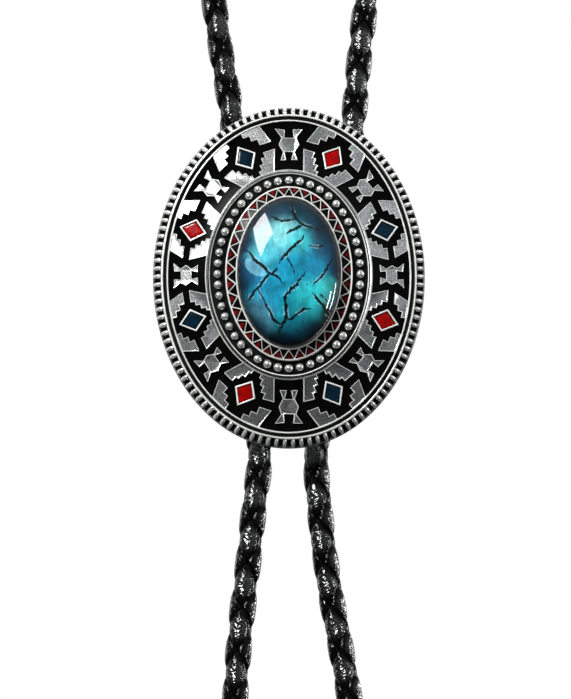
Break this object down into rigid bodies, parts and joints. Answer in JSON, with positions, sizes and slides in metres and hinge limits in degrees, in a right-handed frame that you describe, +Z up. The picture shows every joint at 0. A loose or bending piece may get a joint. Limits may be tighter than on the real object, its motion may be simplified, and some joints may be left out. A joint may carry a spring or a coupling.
{
  "type": "bolo tie",
  "caption": "Bolo tie with an oval cast slide, a domed stone, enamelled diamonds and figures in relief, on a braided leather cord with metal tips.",
  "frame": {"origin": "the point where the cord sits on the nape of the neck", "axes": "+Z up as worn, -Y the way that the slide faces, +X to the right of someone who looks at it"},
  "size_m": [0.1286, 0.1537, 0.4051],
  "materials": {
    "slide_metal": "antiqued silver-coloured cast zinc alloy, satin on the raised parts and black in the recesses",
    "stone": "polished dyed stone, turquoise to dark teal with fine black cracks",
    "red_enamel": "glossy red enamel",
    "blue_enamel": "glossy dark blue enamel",
    "clip_metal": "plain nickel-coloured sheet, lightly brushed",
    "cord_leather": "black leather laces in a round braid, slightly glossy",
    "tip_metal": "silver-coloured turned metal, satin"
  },
  "bodies": {
    "root": {"slide_casting": "slide_metal", "stone_cabochon": "stone", "red_enamel_1": "red_enamel", "red_enamel_2": "red_enamel", "red_enamel_3": "red_enamel", "red_enamel_4": "red_enamel", "blue_enamel_1": "blue_enamel", "blue_enamel_2": "blue_enamel", "blue_enamel_3": "blue_enamel", "blue_enamel_4": "blue_enamel", "cord_clip": "clip_metal", "neck_cord": "cord_leather", "left_cord_end": "cord_leather", "right_cord_end": "cord_leather", "left_tip": "tip_metal", "right_tip": "tip_metal"}
  },
  "joints": []
}
